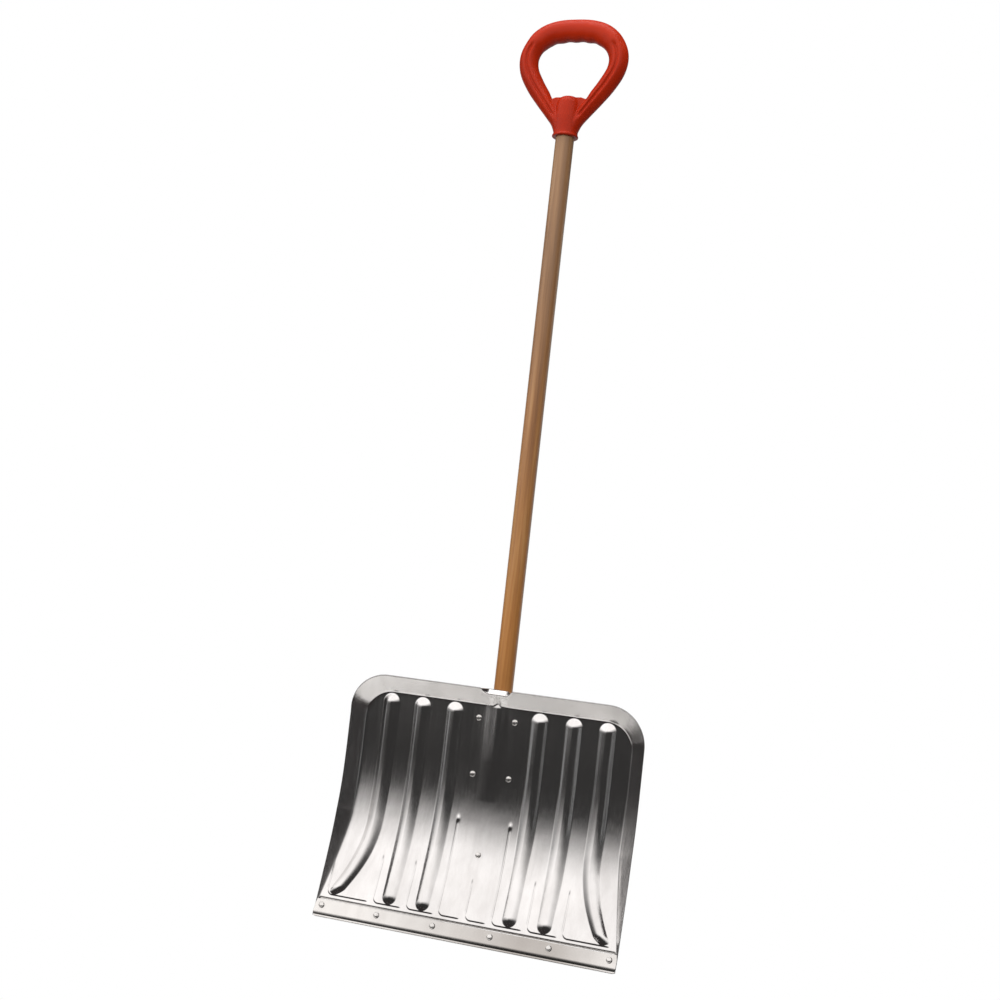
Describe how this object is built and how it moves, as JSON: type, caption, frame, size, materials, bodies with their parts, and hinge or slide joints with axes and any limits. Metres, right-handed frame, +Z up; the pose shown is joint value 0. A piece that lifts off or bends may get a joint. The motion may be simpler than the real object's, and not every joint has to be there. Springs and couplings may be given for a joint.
{
  "type": "snow shovel",
  "caption": "Snow shovel: ribbed aluminium scoop with low flared walls and a riveted steel edge, straight wooden handle, moulded D-shaped grip.",
  "frame": {"origin": "middle of the underside of the grip's top bar, where the shovel hangs on a hook", "axes": "+Z up along the handle towards the grip, -Y the way the scoop faces, +X across the scoop to the right seen from behind"},
  "size_m": [0.4584, 0.1055, 1.3948],
  "materials": {
    "sheet_aluminium": "lengthwise brushed, bright",
    "strip_steel": "bright rolled",
    "rivet_steel": "bright domed heads",
    "socket_steel": "zinc plated",
    "wood": "stained and lacquered straight-grained ash",
    "grip_plastic": "moulded red-orange, semi-gloss"
  },
  "bodies": {
    "root": {"scoop_blade": "sheet_aluminium", "wear_strip": "strip_steel", "strip_rivets": "rivet_steel", "upper_socket_rivets": "rivet_steel", "lower_socket_rivets": "rivet_steel", "tip_rivet": "rivet_steel", "tip_washer": "rivet_steel", "handle_socket": "socket_steel", "handle": "wood", "d_grip": "grip_plastic", "grip_screw": "rivet_steel"}
  },
  "joints": []
}
